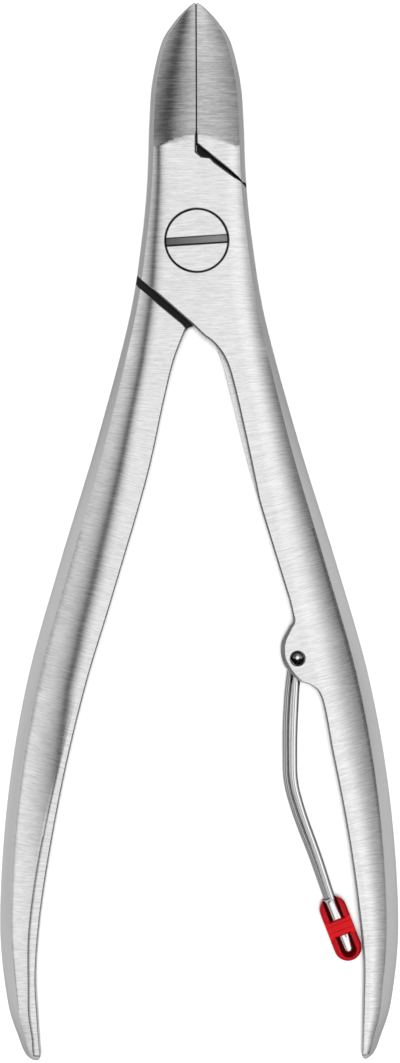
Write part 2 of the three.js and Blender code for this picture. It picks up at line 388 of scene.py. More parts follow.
class Graph:
    """A node tree, with short ways to add to it."""

    def __init__(self, tree: bpy.types.NodeTree) -> None:
        """Wraps a node tree."""
        self.tree = tree

    def node(
        self, kind: str, settings: dict[str, Any] | None = None, **sockets: Any,
    ) -> bpy.types.Node:
        """Adds one node.

        Args:
            kind: The node's type.
            settings: Its properties, set before its sockets.
            sockets: Values or links of its inputs, with _ for a space in a name.

        Returns:
            The new node.
        """
        node = self.tree.nodes.new(kind)
        for key, setting in (settings or {}).items():
            setattr(node, key, setting)
        for key, value in sockets.items():
            self.feed(node.inputs[key.replace("_", " ")], value)
        return node

    def feed(self, socket: Any, value: Any) -> None:
        """Links a value to a socket, or sets the socket to a number, a vector or a colour."""
        if isinstance(value, Value):
            value = value.socket
        if isinstance(value, bpy.types.NodeSocket):
            self.tree.links.new(value, socket)
        elif socket.type == "RGBA":
            socket.default_value = (*value, 1.0)
        else:
            socket.default_value = value

    def value(self, socket: Any) -> Value:
        """Wraps an output socket for maths."""
        return Value(self.tree, socket)

    def noise(self, scale: Point3 | float, detail: float = 2.0, where: Any = None) -> Value:
        """Adds a noise pattern on object coordinates, or on another place.

        Args:
            scale: Repeats per unit along each axis: per metre on object coordinates.
            detail: How many finer layers the noise has.
            where: The vector that the pattern lies on.

        Returns:
            The noise, from 0 to 1.
        """
        scale = scale if isinstance(scale, tuple) else (scale, scale, scale)
        where = where or self.node("ShaderNodeTexCoord").outputs["Object"]
        mapping = self.node("ShaderNodeMapping", Vector=where, Scale=scale)
        place_at = mapping.outputs[0]
        noise = self.node(
            "ShaderNodeTexNoise", Vector=place_at, Scale=1.0, Detail=detail, Roughness=0.6,
        )
        return self.value(noise.outputs["Fac"])

    def blend(self, share: Value, low: Any, high: Any) -> Any:
        """Blends two linear colours or colour sockets.

        Args:
            share: How much of the second shows, from 0 to 1.
            low: The first.
            high: The second.

        Returns:
            The mixed colour's socket.
        """
        node = self.node("ShaderNodeMix", {"data_type": "RGBA", "clamp_factor": True})
        for index, value in ((0, share), (6, low), (7, high)):
            self.feed(node.inputs[index], value)
        return node.outputs[2]

    def bump(self, height: Value, strength: float, distance: float) -> Any:
        """Adds a bump from a height pattern, its distance in metres, and returns its normal."""
        node = self.node("ShaderNodeBump", Height=height, Strength=strength, Distance=distance)
        return node.outputs["Normal"]

    def parts(self, vector: Any) -> tuple[Value, Value, Value]:
        """Splits a vector socket into its three values."""
        split = self.node("ShaderNodeSeparateXYZ", Vector=vector)
        x, y, z = (self.value(output) for output in split.outputs)
        return x, y, z

    def spot(self) -> tuple[Value, Value, Value]:
        """Gives where a point lies on the object, in millimetres."""
        x, y, z = self.parts(self.node("ShaderNodeTexCoord").outputs["Object"])
        return x * 1000.0, y * 1000.0, z * 1000.0

    def face_up(self) -> Value:
        """Gives how far a surface faces front or back, from 0 on a side wall to 1 on a face."""
        return self.parts(self.node("ShaderNodeNewGeometry").outputs["Normal"])[2].size()

    def ramp(self, share: Value, stops: Sequence[Point2]) -> Value:
        """Runs a value through a row of stops.

        Args:
            share: The value, from 0 to 1.
            stops: Pairs of place and result, both from 0 to 1, places rising.

        Returns:
            The result between the stops.
        """
        node = self.node("ShaderNodeValToRGB")
        elements = node.color_ramp.elements
        while len(elements) < len(stops):
            elements.new(0.5)
        for element, (place_at, grey) in zip(elements, stops):
            element.position = place_at
            element.color = (grey, grey, grey, 1.0)
        self.feed(node.inputs["Fac"], share)
        return self.value(node.outputs["Color"])


class Finish(Graph):
    """A material's node tree, with its Principled shader."""

    def __init__(self, name: str) -> None:
        """Makes a material with a Principled shader."""
        self.material = bpy.data.materials.new(name)
        self.material.use_nodes = True
        super().__init__(self.material.node_tree)
        self.shader = self.tree.nodes["Principled BSDF"]

    def surface(self, **sockets: Any) -> bpy.types.Material:
        """Sets the shader's sockets, with _ for a space in a name, and gives the material."""
        for key, value in sockets.items():
            self.feed(self.shader.inputs[key.replace("_", " ")], value)
        return self.material


@dataclass(frozen=True)
class SatinSteel:
    """Stainless steel, ground crosswise on its faces and finer on its sides, with painted shade.

    Its side walls are painted a darker grey than its faces, as shade. The lap faces, the screw's
    seat, the slot's corners and the line between the jaws get a painted black shade.
    """

    name: str
    dark: Point3 = (0.54, 0.54, 0.542)
    light: Point3 = (0.81, 0.81, 0.813)
    # Painted shade: the side walls get a darker grey than the faces, lighter in places.
    side: Point3 = (0.36, 0.36, 0.361)
    side_spread: float = 1.12  # how much lighter the sides get in places
    grazing: Point3 = (0.45, 0.45, 0.45)
    # Painted black shade for the lap, the screw's seat and the line between the jaws.
    painted_shade: Point3 = (0.012, 0.012, 0.013)
    roughness: float = 0.175
    side_roughness: float = 0.27
    grain_bump: float = 0.7
    grain_height: float = 0.000014
    turn: float = 0.0
    spread: float = 0.28  # how steeply the grain rises outwards on the handles, square to their run
    handle_top: Point2 = (-24.0, -8.0)  # over which span of Y the grain starts and stops rising
    handle_end: Point2 = (-68.0, -44.0)
    # Repeats per millimetre of the grind's three layers, along the grain, across it and in depth.
    hair: Point3 = (0.6, 8.0, 8.0)
    streak: Point3 = (0.35, 3.8, 3.8)
    scuff: Point3 = (1.8, 7.5, 7.5)
    cloud: float = 160.0  # repeats per metre
    pits: float = 3800.0
    contrast: float = 2.8
    jaw_contrast: float = 2.2  # what the jaws' coarser grind adds to it
    jaw_start: Point2 = (8.6, 9.2)
    face_slope: Point2 = (0.66, 0.8)  # how far up a surface faces where side turns to face
    # Where the painted black shade starts and ends: on the lap, in the screw's seat, between the
    # jaws.
    lap_height: Point2 = (0.06, 0.09)
    lap_slope: Point2 = (0.7, 0.9)
    lap_low: Point2 = (-8.75, -8.6)
    lap_high: Point2 = (9.3, 9.5)
    seat_radius: Point2 = (3.03, 3.06)
    seat_floor: Point2 = (4.0, 4.2)
    seat_mouth: Point2 = (5.82, 5.9)
    jaw_line: Point2 = (0.06, 0.08)
    jaw_line_low: Point2 = (8.3, 8.5)

    def painted_shade_share(self, graph: Graph) -> Value:
        """Gives where the painted black shade lies.

        Args:
            graph: The material's tree.

        Returns:
            The film's share, from 0 to 1.
        """
        x, y, z = graph.spot()
        level = 1.0 - (z - MIDDLE).size().between(*self.lap_height)
        lap = level * graph.face_up().between(*self.lap_slope)
        lap = lap * y.between(*self.lap_low) * (1.0 - y.between(*self.lap_high))
        radius = (x * x + y * y) ** 0.5
        seat = 1.0 - radius.between(*self.seat_radius)
        seat = seat * (1.0 - z.between(*self.seat_mouth)) * z.between(*self.seat_floor)
        line = (1.0 - x.size().between(*self.jaw_line)) * y.between(*self.jaw_line_low)
        return (lap + seat + line).clamped()

    def grind(self, graph: Graph) -> Any:
        """Gives the place that the grind's pattern lies on, in millimetres, X along the grain.

        Args:
            graph: The material's tree.

        Returns:
            The vector's socket.
        """
        x, y, z = graph.spot()
        handles = (1.0 - y.between(*self.handle_top)) * y.between(*self.handle_end)
        rise = handles * self.spread * x.size() + x * math.tan(self.turn)
        return graph.node("ShaderNodeCombineXYZ", X=x, Y=y - rise, Z=z * 0.1).outputs[0]

    def build(self) -> bpy.types.Material:
        """Builds and returns the material."""
        graph = Finish(self.name)
        ground = self.grind(graph)
        hair = graph.noise(self.hair, where=ground)
        streak = graph.noise(self.streak, 3.0, ground)
        scuff = graph.noise(self.scuff, where=ground)
        cloud, pits = graph.noise(self.cloud), graph.noise(self.pits)
        on_face = graph.face_up().between(*self.face_slope)
        grain = hair * 0.5 + streak * 0.2 + scuff * 0.3
        jaws = graph.spot()[1].between(*self.jaw_start)
        tone = 0.5 + (grain - 0.5) * (self.contrast + jaws * self.jaw_contrast)
        tone = (tone + (cloud - 0.5) * 0.25 - jaws * 0.1).clamped()
        side_tone = (0.5 + (pits - 0.5) * 0.8 + (cloud - 0.5) * 0.5).clamped()
        lighter_side_shade = tuple(c * self.side_spread for c in self.side)
        # Painted black shade over the ground steel, not metallic and rougher.
        painted_shade = self.painted_shade_share(graph)
        # The faces' ground tones, and the sides' painted shade.
        grain_and_side_shade = graph.blend(
            on_face,
            graph.blend(side_tone, self.side, lighter_side_shade),
            graph.blend(tone, self.dark, self.light),
        )
        smoother = self.roughness - self.side_roughness + (grain - 0.5) * 0.16
        rough = self.side_roughness + on_face * smoother
        height = grain * on_face + pits * (1.0 - on_face) * 0.3
        return graph.surface(
            Base_Color=graph.blend(painted_shade, grain_and_side_shade, self.painted_shade),
            Metallic=1.0 - painted_shade,
            Roughness=rough + painted_shade * 0.4,
            Specular_Tint=self.grazing,
            Normal=graph.bump(height, self.grain_bump, self.grain_height),
        )


@dataclass(frozen=True)
class ScrewSteel(SatinSteel):
    """The screw's steel: the same grind, with a painted shade in its slot and under its rim."""

    rim_radius: Point2 = (2.855, 2.885)
    rim_height: Point2 = (5.86, 5.9)
    slot_height: Point2 = (5.8, 5.88)
    slot_corner: Point2 = (-0.31, -0.2)
    slot_run: Point2 = (-3.0, 2.0)  # from the slot's darker end to its lighter one
    # Painted shade in the slot: its share over the floor, and how much more it gets towards the
    # left end.
    slot_painted_shade: float = 0.72
    slot_shade: float = 0.17
    shank_height: Point2 = (3.0, 3.2)

    def painted_shade_share(self, graph: Graph) -> Value:
        """Gives where the painted black shade lies, and how much of it covers the slot's floor.

        Args:
            graph: The material's tree.

        Returns:
            The film's share, from 0 to 1.
        """
        x, y, z = graph.spot()
        radius = (x * x + y * y) ** 0.5
        # Painted shade: black on the wall under the head's rim.
        wall = radius.between(*self.rim_radius) * (1.0 - z.between(*self.rim_height))
        # Painted shade over the slot's floor, darker in its lower corner and towards its left end.
        across = y * math.cos(self.turn) - x * math.sin(self.turn)
        corner = 1.0 - across.between(*self.slot_corner)
        slot_shade_share = self.slot_painted_shade + self.slot_shade * (1.0 - x.between(*self.slot_run)) + corner
        floor = (1.0 - z.between(*self.slot_height)) * slot_shade_share
        return (wall + floor * z.between(*self.shank_height)).clamped()


@dataclass(frozen=True)
class PolishedWire:
    """Drawn spring wire, its colour painted brighter on top than down its sides.

    The colour, not the light, makes most of that contrast and the rear leg's darker tone.
    """

    name: str
    colour: Point3 = (0.82, 0.825, 0.83)
    # Painted shade grey for the wire's sides and its rear leg.
    painted_shade_grey: Point3 = (0.13, 0.13, 0.132)
    roughness: float = 0.16
    lines: Point3 = (5200.0, 300.0, 5200.0)  # repeats per metre of the die's lines
    spots: float = 900.0
    line_height: float = 0.000006
    front_leg: Point2 = (2.9, 3.15)  # heights over which the back leg's painted shade gives way to the front leg's full colour

    def build(self) -> bpy.types.Material:
        """Builds and returns the material."""
        graph = Finish(self.name)
        lines = graph.noise(self.lines)
        spots = graph.noise(self.spots, 3.0)
        # Painted shade on the lower, rear leg, and a painted highlight on top of the wire with
        # painted shade down its sides.
        front = 0.42 + 0.58 * graph.spot()[2].between(*self.front_leg)
        painted_highlight = (graph.face_up() + (spots - 0.5) * 0.1).between(0.25, 0.95) * front
        return graph.surface(
            Base_Color=graph.blend(painted_highlight, self.painted_shade_grey, self.colour),
            Metallic=1.0,
            Roughness=self.roughness + (lines - 0.5) * 0.1,
            Normal=graph.bump(lines, 0.08, self.line_height),
        )


@dataclass(frozen=True)
class BlackPin:
    """Blackened pin steel, with a grey half and a bright spot painted on its dome.

    Both stand in for a reflection, so they stay put when the light or the view moves.
    """

    name: str
    black: Point3 = (0.01, 0.01, 0.011)
    # Painted reflection grey for the dome's upper half.
    painted_reflection_grey: Point3 = (0.3, 0.3, 0.3)
    # Colour of the painted highlight spot.
    painted_highlight: Point3 = (0.95, 0.95, 0.95)
    wear: float = 2600.0  # repeats per metre
    wear_height: float = 0.00001
    half_line: Point2 = (0.0, 0.06)  # how quickly black turns to the painted grey reflection, up from the pin's middle
    spot_centre: Point2 = (-0.04, 0.08)
    spot_edge: Point2 = (0.12, 0.22)

    def build(self) -> bpy.types.Material:
        """Builds and returns the material."""
        graph = Finish(self.name)
        wear = graph.noise(self.wear)
        x, y, _ = graph.spot()
        across, along = x - PIN.x, y - PIN.y
        # Painted reflection: grey over the dome's upper half, with a painted highlight spot on it.
        half = (along + (wear - 0.5) * 0.3).between(*self.half_line)
        off_x, off_y = across - self.spot_centre[0], along - self.spot_centre[1]
        off = (off_x**2.0 + off_y**2.0) ** 0.5
        spot = 1.0 - (off + (wear - 0.5) * 0.1).between(*self.spot_edge)
        return graph.surface(
            Base_Color=graph.blend(spot, graph.blend(half, self.black, self.painted_reflection_grey), self.painted_highlight),
            Metallic=1.0,
            Roughness=0.2 + wear * 0.12,
            Normal=graph.bump(wear, 0.2, self.wear_height),
        )


@dataclass(frozen=True)
class GlossyPlastic:
    """Soft glossy plastic, slightly uneven as it leaves its mould, with painted light on its raised
    strap.
    """

    name: str
    deep: Point3 = (0.25, 0.0005, 0.004)
    bright: Point3 = (0.47, 0.0015, 0.005)
    roughness: float = 0.3
    gloss: float = 0.16
    cloud: float = 420.0  # repeats per metre
    ripple: float = 1500.0
    ripple_height: float = 0.00004
    strap_height: Point2 = (4.32, 4.42)  # over which heights the raised strap turns brighter, as painted light

    def build(self) -> bpy.types.Material:
        """Builds and returns the material."""
        graph = Finish(self.name)
        cloud, ripple = graph.noise(self.cloud), graph.noise(self.ripple)
        # Random tone, and painted light on top of the raised strap.
        strap = graph.spot()[2].between(*self.strap_height)
        lit = (cloud.between(0.25, 0.75) * 0.4 + strap * 0.75).clamped()
        return graph.surface(
            Base_Color=graph.blend(lit, self.deep, self.bright),
            Roughness=self.roughness + (ripple - 0.5) * 0.14,
            Normal=graph.bump(ripple, 0.3, self.ripple_height),
            Specular_IOR_Level=self.gloss,
        )


# ---------------------------------------------------------------- levers


@dataclass
class Forging:
    """The outer shape that both levers are cut from, and the outlines that part them."""

    outer: Sequence[Point2] = (
        (0.2, 22.7), (0.6, 22.42), (1.3, 21.75), (2.08, 20.85), (3.25, 18.96), (4.15, 15.2),
        (4.45, 11.4), (4.67, 5.75), (5.24, 0.0), (6.46, -7.45), (9.5, -18.8), (12.97, -30.1),
        (16.15, -41.4), (18.07, -52.7), (18.82, -64.1), (18.16, -71.6), (17.1, -75.2),
        (16.5, -76.7), (15.85, -77.3),
    )
    right_inner: Sequence[Point2] = (
        (1.06, -8.25), (2.3, -11.2), (3.3, -15.0), (5.2, -22.55), (8.6, -33.9), (11.0, -41.4),
        (12.75, -49.0), (14.15, -56.5), (15.1, -63.5), (15.5, -67.8), (15.45, -72.0), (15.3, -77.3),
    )
    left_inner: Sequence[Point2] = (
        (1.06, -8.25), (2.2, -11.2), (3.15, -15.0), (4.85, -22.55), (8.2, -33.9), (10.5, -41.4),
        (12.4, -49.0), (13.9, -56.5), (15.0, -63.5), (15.45, -69.0), (15.3, -73.0), (15.0, -77.3),
    )
    crotch: Sequence[Point2] = (
        (0.66, -8.96), (1.6, -9.7), (2.55, -11.0), (3.3, -13.1), (4.6, -18.8), (5.75, -24.4),
    )
    rear_crotch: Sequence[Point2] = ((0.35, -7.95), (0.8, -8.12), (1.1, -8.4))
    boss: Sequence[Point2] = (
        (8.6, -33.9), (8.95, -35.7), (8.55, -36.5), (7.9, -37.8), (7.85, -39.2), (8.42, -40.4),
        (9.4, -41.45), (10.6, -41.95), (11.4, -42.7), (11.9, -44.3), (12.55, -48.0),
    )
    # Where the flat of the face gives way to its rounded shoulder, from the outer edge.
    shoulder: Sequence[Point2] = (
        (0.2, 22.7), (1.2, 18.0), (1.9, 9.0), (2.35, 3.4), (2.85, -5.6), (3.15, -11.0),
        (3.55, -17.0), (4.25, -23.0), (4.9, -30.0), (5.1, -35.0), (4.95, -43.0), (4.6, -49.0),
        (4.0, -54.6), (3.4, -60.0), (2.9, -65.0), (2.4, -70.0), (1.5, -75.0), (0.7, -77.3),
    )
    # Width in plan of the smooth side band below the shoulder.
    band: Sequence[Point2] = (
        (0.12, 22.7), (0.42, 20.0), (0.48, 10.0), (0.5, 0.0), (0.62, -10.0), (0.95, -22.0),
        (1.15, -36.0), (1.2, -55.0), (1.15, -68.0), (0.8, -74.0), (0.45, -77.3),
    )
    face_height: Sequence[Point2] = (
        (6.0, 22.6), (6.0, -5.0), (6.0, -9.0), (5.87, -14.0), (5.7, -30.0), (5.5, -60.0),
        (5.25, -72.0), (4.9, -77.3),
    )
    # Crest of the jaws' ground front, on the centre line.
    jaw_crest: Sequence[Point2] = (
        (1.9, 24.5), (2.32, 22.7), (3.15, 20.5), (4.27, 17.0), (5.3, 13.0), (6.0, 9.9),
        (6.38, 8.76), (6.75, 7.5),
    )
    # Radius of that front's crown, smaller towards the tip, like a cone.
    jaw_crown: Sequence[Point2] = (
        (6.0, 24.5), (7.6, 22.0), (8.6, 21.0), (14.5, 17.0), (18.2, 13.3), (20.6, 10.4),
        (18.6, 8.76), (17.5, 7.5),
    )
    jaw_back: Sequence[Point2] = (
        (1.2, 24.5), (1.15, 22.7), (0.8, 17.0), (0.3, 12.0), (0.0, 8.0), (0.0, 6.0),
    )
    # How sharply the shoulder sets off from the flat: 0 is a smooth start, 1 an even slope.
    break_share: Sequence[Point2] = (
        (0.0, 22.7), (0.0, -39.0), (0.1, -43.0), (0.4, -49.0), (0.62, -54.7), (0.8, -60.0),
        (0.85, -66.0), (0.85, -77.3),
    )
    # How gently the shoulder starts: its fall goes by this power of the way down.
    start_power: Sequence[Point2] = (
        (3.0, 22.7), (3.0, 3.4), (2.6, -5.6), (2.4, -11.0), (2.3, -17.0), (2.3, -30.0),
        (2.2, -36.0), (2.0, -43.0), (2.0, -77.3),
    )
    # Steepest slope of the shoulder, in degrees.
    lean: Sequence[Point2] = (
        (21.0, 22.7), (21.0, 3.4), (26.0, -5.6), (29.0, -11.0), (31.0, -17.0), (31.0, -77.3),
    )
    jaw_crown_fall: float = 0.00015  # extra fall of the crown by the fourth power of its half width
    jaw_front_low: float = 7.5  # where along Y the ground front and the tapered back begin
    jaw_back_low: float = 6.0
    jaw_stock: Point2 = (0.3, 0.04)  # metal left to grind off, on the crest and beside it
    jaw_back_step: float = 0.12  # least height of the jaws' back shoulder
    band_most: float = 0.45  # most of the half width that the side band takes
    shoulder_most: float = 0.9  # and the band and shoulder together
    least_roll: float = 0.05
    least_toe: float = 0.03
    end_rounding: float = 0.7
    end_sink: float = 0.85  # how much of a full quarter round the very end has
    front_chamfer: float = 0.14
    rear_chamfer: float = 0.09
    fillet: float = 0.14  # width and slope of the dark line's own small facet
    fillet_slope: float = 0.16
    jaw_lip: Point3 = (0.004, 9.3, 22.62)  # stand-off of the jaws' closed lips, and their run
    jaw_lip_top: float = 1.4
    boss_bevel: Point3 = (7.75, -38.7, 3.6)  # centre and reach of the boss's wide bevel
    boss_bevel_width: float = 0.24
    # Outlines of the four shoulders at the joint.
    cheek_top: Sequence[Point2] = (
        (8.0, 2.12), (4.42, 5.28), (3.06, 6.35), (1.65, 7.4), (1.25, 7.82), (0.45, 7.92),
        (-EDGE_GAP, 8.35),
    )
    cheek_bottom: Sequence[Point2] = ((-8.0, -0.56), (-5.2, -3.68), (-0.47, -7.86))
    jaw_shoulder: Sequence[Point2] = ((EDGE_GAP, 9.15), (3.95, 5.98), (4.3, 5.55), (8.0, 5.4))
    handle_shoulder: Sequence[Point2] = ((8.0, -0.7), (5.49, -4.43), (1.39, -7.86), (1.06, -8.25))

    def __post_init__(self) -> None:
        """Makes the functions of y that the methods read."""
        self.outer_at = rule(self.outer, LEVER_HIGH.x)
        self.break_at = rule(self.break_share)
        self.shoulder_at = rule(self.shoulder)
        self.band_at = rule(self.band)
        self.face_at = rule(self.face_height, THICKNESS)
        self.crest_at = rule(self.jaw_crest)
        self.crown_at = rule(self.jaw_crown)
        self.power_at = rule(self.start_power)
        self.lean_at = rule(self.lean)
        self.jaw_back_at = rule(self.jaw_back)

    def end_share(self, y: float) -> float:
        """Gives how much of its thickness a handle keeps close to its rounded end."""
        into = max(0.0, (END_Y + self.end_rounding - y) / self.end_rounding)
        return math.sqrt(max(0.0, 1 - (self.end_sink * into) ** 2))

    def flat_at(self, y: float) -> float:
        """Gives the height of the front flat at y, lower where the handle's end is rounded."""
        return MIDDLE + (self.face_at(y) - MIDDLE) * self.end_share(y)

    def stations(self) -> list[float]:
        """Lists where along Y the sections stand, closer together at both ends."""
        first, nose, last, spacing = 0.02, 1.7, 1.75, 0.4
        tip = [TIP_Y - first - nose * (k / 16) ** 1.6 for k in range(16)]
        run = list(np.arange(TIP_Y - last, END_Y + self.end_rounding, -spacing))
        turn = (math.pi / 2 * k / 8 for k in range(1, 9))
        return [*tip, *run, *(END_Y + self.end_rounding * (1 - math.sin(a)) for a in turn)]

    def half_section(self, y: float, face: Face, broken: bool) -> list[Point2]:
        """Gives half of one face's section, from the centre line out to the widest point.

        Args:
            y: Where the section stands.
            face: Which face it belongs to.
            broken: Whether a crisp line parts the flat from the shoulder low on the handle.

        Returns:
            Points as [x, z], the widest point left out.
        """
        width = self.outer_at(y)
        band = min(self.band_at(y), self.band_most * width)
        shoulder = min(self.shoulder_at(y), self.shoulder_most * width)
        shoulder = max(shoulder, band + self.least_roll)
        roll = shoulder - band
        straight, power = self.break_at(y) if broken else 0.0, self.power_at(y)
        slope = math.tan(math.radians(self.lean_at(y)))
        drop = roll * slope / (power - (power - 1) * straight)
        height = self.flat_at(y)
        low = height - min(drop, 0.45 * (height - MIDDLE))
        if face is Face.FRONT and y > self.jaw_front_low:
            ground = self.crest_at(y) - self.crown_fall(width - band, y)
            height = min(height, self.crest_at(y) + self.jaw_stock[0])
            low = min(low, ground + self.jaw_stock[1])
        if face is Face.BACK:
            height, low = THICKNESS - height, THICKNESS - low
            if y > self.jaw_back_low:
                height = max(height, self.jaw_back_at(y))
                low = max(low, height + self.jaw_back_step)
        start, steps, spacing = width - shoulder, 14, 1.4
        crisp = min(1.0, 2 * straight)
        toe = self.least_toe + self.fillet * crisp

        def fall(u: float) -> float:
            """Gives how far the shoulder has fallen at a share of its way down."""
            return (low - height) * (straight * u + (1 - straight) * u**power)

        dip = math.copysign(self.fillet_slope * toe, low - height)
        points = [
            (0.0, height), (0.5 * start, height), (max(0.6 * start, start - 0.12), height),
            (start, height), (start + toe, height + ((1 - crisp) * fall(toe / roll) + crisp * dip)),
        ]
        for k in range(1, steps + 1):
            u = toe / roll + (1 - toe / roll) * (k / steps) ** spacing
            points.append((start + roll * u, height + fall(u)))
        return points

    def section(self, y: float) -> list[Point3]:
        """Gives the whole closed section at y.

        Args:
            y: Where the section stands.

        Returns:
            The loop's points, anticlockwise as seen from the tip.
        """
        width = self.outer_at(y)
        steps, bow = 9, 1.18

        def bulge(start: Point2, waist: float) -> list[Point2]:
            """Runs the side band from the foot of a shoulder to just short of the waist."""
            return [
                (
                    width - (width - start[0]) * (1 - k / steps) ** bow,
                    start[1] + (waist - start[1]) * k / steps,
                )
                for k in range(1, steps)
            ]

        def side(broken: bool) -> list[Point2]:
            """Gives the right half of the loop, from the front's middle to the back's."""
            front = self.half_section(y, Face.FRONT, broken)
            back = self.half_section(y, Face.BACK, broken)
            waist = 0.5 * (front[-1][1] + back[-1][1])
            upper, lower = bulge(front[-1], waist), reversed(bulge(back[-1], waist))
            return [*front, *upper, (width, waist), *lower, *reversed(back)]

        left = [(-x, z) for x, z in reversed(side(True)[1:-1])]
        return [(x, y, z) for x, z in [*side(False), *left]]

    def blank(self) -> bpy.types.Object:
        """Makes the outer shape of the closed nipper, jaws ground, before it is parted."""
        shape = loop_solid("blank", [self.section(y) for y in self.stations()])
        cut(shape, self.grinding(), Cut.KEEP)
        return shape

    def crown_fall(self, x: float, y: float) -> float:
        """Gives how far the jaws' ground front falls from its crest at a distance x from it."""
        return x * x / (2 * self.crown_at(y)) + self.jaw_crown_fall * x**4

    def grinding(self) -> bpy.types.Object:
        """Makes the solid under the jaws' ground front, which is a crowned slope.

        Returns:
            The closed solid, far larger than the nipper everywhere else.
        """
        half, reach, roof, floor = 6.0, 60.0, 9.0, -5.0
        xs = np.linspace(-half, half, 49)
        low = self.jaw_front_low
        loops = []
        for y in (END_Y - 10.0, low - 0.1, *np.arange(low, TIP_Y + 1.6, 0.25)):
            wide = half if y >= low else reach
            ridge = [
                (x * wide / half, y, self.crest_at(y) - self.crown_fall(x, y) if y >= low else roof)
                for x in xs
            ]
            loops.append([(-wide, y, floor), (wide, y, floor), *reversed(ridge)])
        return loop_solid("grinding", loops)

    def inner_line(self, top: float, with_boss: bool) -> list[Point2]:
        """Lists a handle's inner edge on the right, from a given y down.

        Args:
            top: Where the line starts.
            with_boss: Whether the spring's boss bulges out of it.

        Returns:
            Points down to just past the handle's rounded end.
        """
        edge = rule(self.right_inner if with_boss else self.left_inner)
        stop, step = END_Y + 0.6, -0.6
        if with_boss:
            boss_top, boss_end = self.boss[0][1] + 1.0, self.boss[-1][1] - 2.5
            above = [(edge(y), y) for y in np.arange(top, boss_top, step)]
            below = [(edge(y), y) for y in np.arange(boss_end, stop, step)]
            line = [*above, *smooth_line(self.boss), *below]
        else:
            line = [(edge(y), y) for y in np.arange(top, stop, step)]
        last = edge(END_Y)
        corner = [(0.0, 0.5), (0.06, 0.28), (0.16, 0.12), (0.32, 0.0), (0.5, -0.06), (0.5, -3.0)]
        return [*line, *((last + x, END_Y + y) for x, y in corner)]

    def prism(
        self, name: str, outline: Sequence[Point2], face: Face, level: float, chamfer: float,
    ) -> bpy.types.Object:
        """Makes the upright solid inside an outline, its walls chamfered where they meet a face.

        Args:
            name: The new object's name.
            outline: The plan, anticlockwise.
            face: Which face the solid runs out through.
            level: The height that it starts from.
            chamfer: The width of the broken edge.

        Returns:
            The closed solid.
        """
        beyond, reach_out = 0.25, 8.0
        out = 1.0 if face is Face.FRONT else -1.0

        def height(y: float) -> float:
            """Gives the height of the face that the walls run out through."""
            return MIDDLE + out * (self.face_at(y) - MIDDLE)

        centre_x, centre_y, reach = self.boss_bevel
        near = [max(0.0, 1 - math.hypot(x - centre_x, y - centre_y) / reach) for x, y in outline]
        widths = np.array([chamfer + self.boss_bevel_width * math.sqrt(share) for share in near])
        edge = [(x, y, height(y) - out * width) for (x, y), width in zip(outline, widths)]
        leaned = inset(outline, widths + beyond)
        flared = [(x, y, height(y0) + out * beyond) for (x, y), (_, y0) in zip(leaned, outline)]
        far = MIDDLE + out * reach_out
        foot, head = [(x, y, level) for x, y in outline], [(x, y, far) for x, y in leaned]
        return loop_solid(name, [foot, edge, flared, head])

    def parting_tool(self, name: str, mirrored: bool, with_boss: bool) -> bpy.types.Object:
        """Makes the solid that takes one lever out of the blank.

        Args:
            name: The new object's name.
            mirrored: False for the lever with its cheek in front, True for the one behind.
            with_boss: Whether the handle has the spring's boss.

        Returns:
            The closed solid.
        """
        far, beyond, past = 30.0, TIP_Y + 2, END_Y - 3.0
        chamfer = self.rear_chamfer if mirrored else self.front_chamfer
        crotch = self.rear_crotch if mirrored else smooth_line(self.crotch, 6)
        top, bottom = self.cheek_top, self.cheek_bottom
        shoulder, jaw_end = self.handle_shoulder, self.jaw_shoulder[-1][1]
        cheek_half = [
            (-EDGE_GAP, beyond), (-far, beyond), (-far, bottom[0][1]), *bottom, *crotch,
            *self.inner_line(crotch[-1][1] - 0.6, with_boss), (far, past), (far, top[0][1]), *top,
        ]
        jaw = [
            (-EDGE_GAP, beyond), (-far, beyond), (-far, jaw_end),
            *((-x, y) for x, y in reversed(self.jaw_shoulder)),
        ]
        handle = [
            *shoulder, *self.inner_line(shoulder[-1][1] - 0.5, with_boss),
            (far, past), (far, shoulder[0][1]),
        ]
        near, other = (Face.BACK, Face.FRONT) if mirrored else (Face.FRONT, Face.BACK)
        level = MIDDLE - LAP if mirrored else MIDDLE + LAP
        stand_off, low, high = self.jaw_lip
        lip = [(-stand_off, low), (-stand_off, high), (-2.0, high), (-2.0, low)]
        if mirrored:
            cheek_half, jaw, handle, lip = (
                [(-x, y) for x, y in reversed(plan)] for plan in (cheek_half, jaw, handle, lip)
            )
        solids = [
            self.prism(f"{name}_{part}", plan, face, level, chamfer)
            for part, plan, face in (
                ("cheek", cheek_half, near), ("jaw", jaw, other), ("handle", handle, other),
            )
        ]
        lip_levels = (-4.0, self.jaw_lip_top)
        solids.append(loop_solid("lip", [[(x, y, z) for x, y in lip] for z in lip_levels]))
        for extra in solids[1:]:
            cut(solids[0], extra, Cut.JOIN)
        return solids[0]


